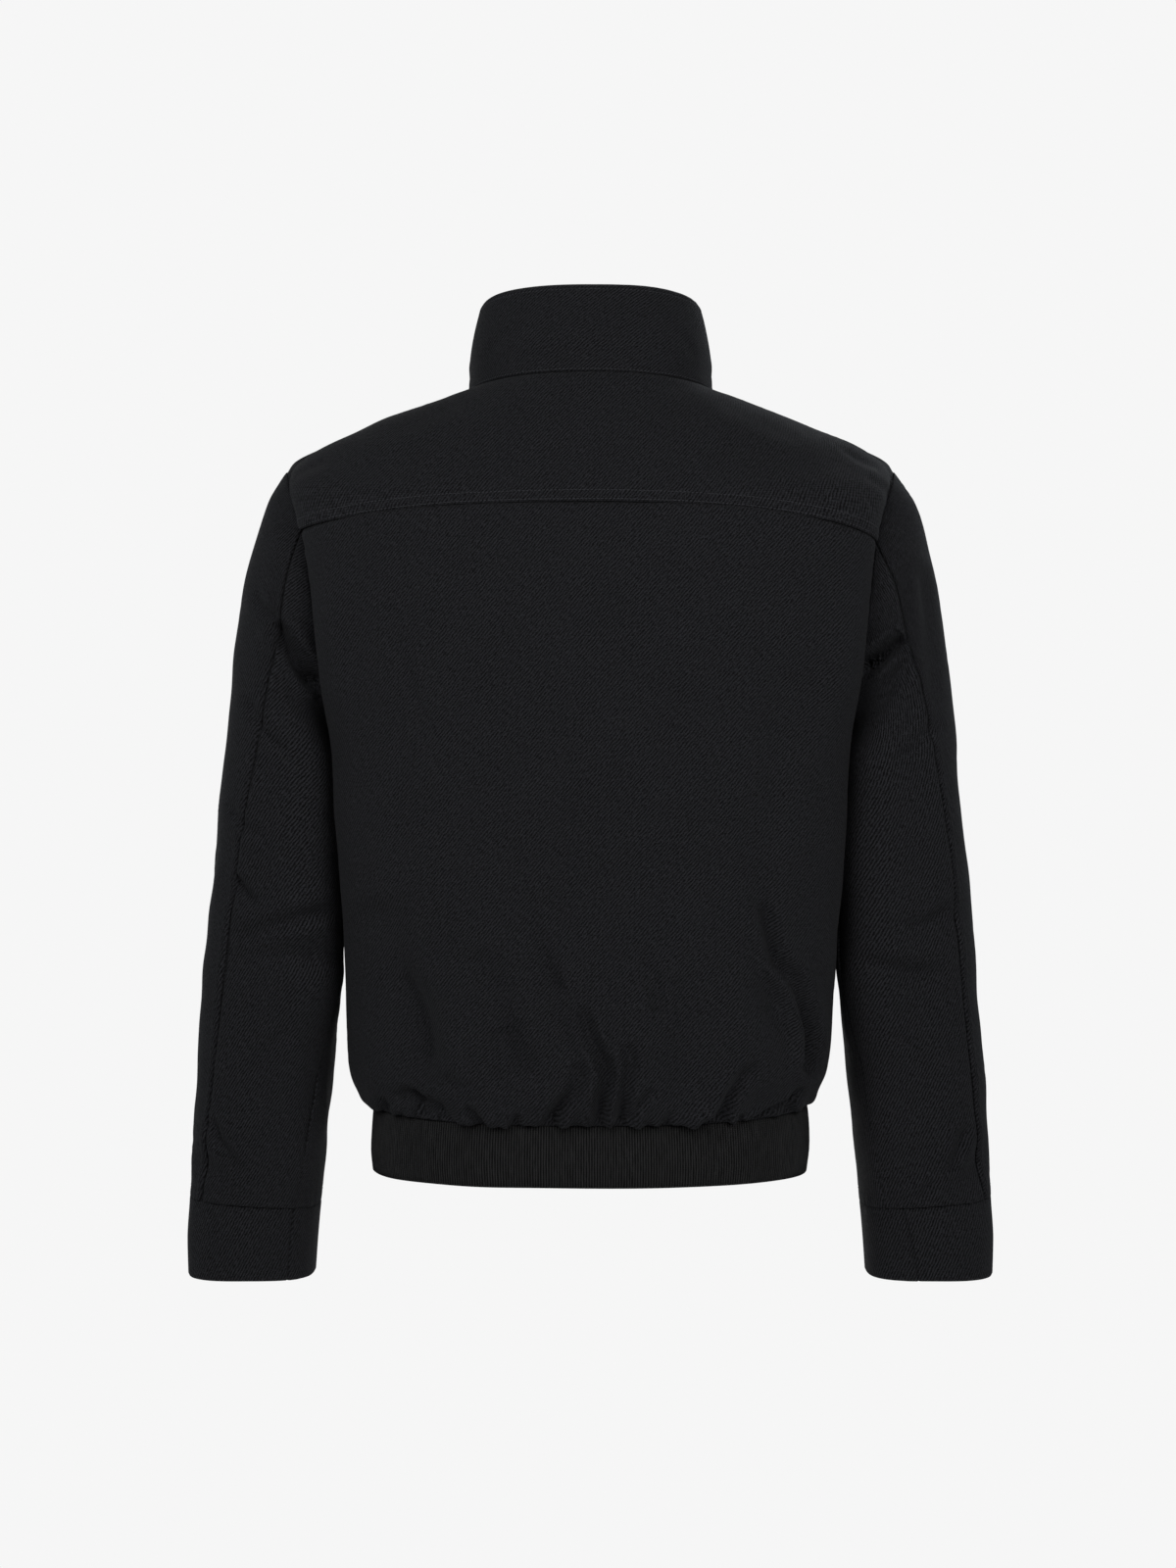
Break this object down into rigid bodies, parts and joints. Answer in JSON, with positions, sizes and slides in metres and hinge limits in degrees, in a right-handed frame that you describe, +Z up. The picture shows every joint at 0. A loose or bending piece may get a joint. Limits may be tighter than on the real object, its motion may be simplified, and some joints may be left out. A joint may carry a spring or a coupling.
{
  "type": "work jacket",
  "caption": "Hip-length work jacket in twill, with a stand collar, a back yoke, long sleeves with plain cuffs, a rib hem band and a metal zip down the front",
  "frame": {"origin": "the middle of the neck opening, level with the collar seam, where the jacket is held", "axes": "+Z up, the front of the jacket faces -Y, +X is the wearer's left"},
  "size_m": [0.636, 0.283, 0.7685],
  "materials": {
    "twill": "black cotton twill, matt",
    "rib": "black rib knit, matt",
    "tape": "black woven zip tape, matt",
    "metal": "dull brass"
  },
  "bodies": {
    "jacket": {"back_panel": "twill", "yoke": "twill", "front_left": "twill", "front_right": "twill", "sleeve_upper_left": "twill", "sleeve_upper_right": "twill", "sleeve_under_left": "twill", "sleeve_under_right": "twill", "cuff_left": "twill", "cuff_right": "twill", "collar": "twill", "hem_band": "rib", "zip_tape_left": "tape", "zip_tape_right": "tape", "zip_slider": "metal", "zip_box": "metal", "zip_stop_left": "metal", "zip_stop_right": "metal"},
    "pull": {"zip_pull": "metal"}
  },
  "joints": [
    {"name": "pull_swing", "type": "hinge", "parent": "jacket", "child": "pull", "pos_m": [0, -0.08054, -0.02562], "axis": [-1, 0, 0], "range_deg": [0, 170]}
  ]
}
